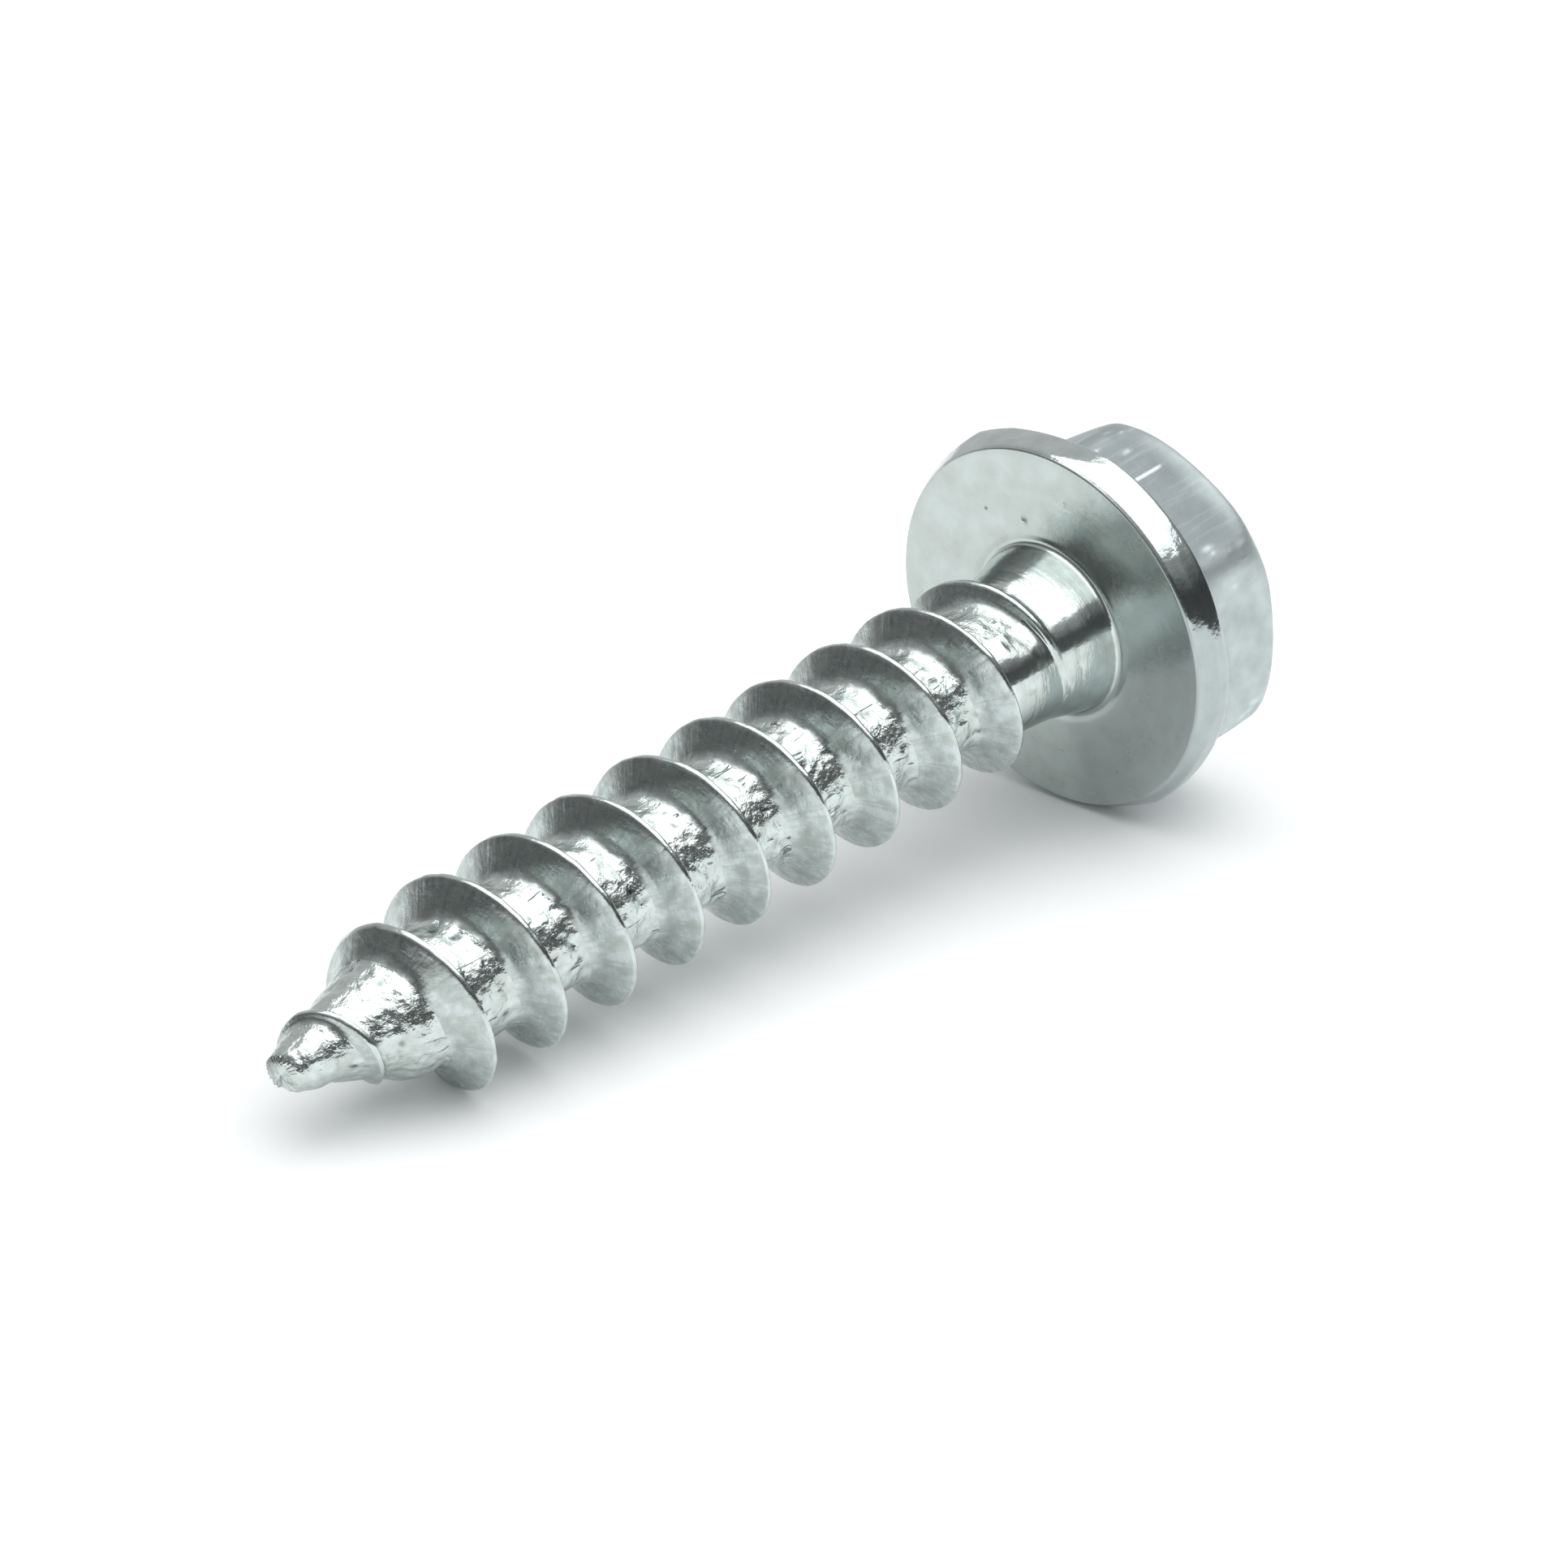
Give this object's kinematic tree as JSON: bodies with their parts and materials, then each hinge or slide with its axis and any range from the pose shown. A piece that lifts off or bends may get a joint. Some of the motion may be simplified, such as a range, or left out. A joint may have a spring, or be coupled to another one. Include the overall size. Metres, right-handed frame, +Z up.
{
  "type": "hex flange self-tapping screw",
  "caption": "Hex flange self-tapping screw with a coarse spaced thread, a gimlet point and a short plain neck, cold formed in bright plated steel, lying on its side.",
  "frame": {"origin": "on the floor, below the middle of the lying screw's box", "axes": "+Z up; +X along the floor towards the head; the screw's axis falls 6.9 degrees towards the point, with the flange's edge and one thread crest on the floor"},
  "size_m": [0.0286, 0.0098, 0.0096],
  "materials": {
    "zinc_plate": "bright zinc plate, smooth on the head and mottled in the thread grooves"
  },
  "bodies": {
    "root": {"screw": "zinc_plate"}
  },
  "joints": []
}
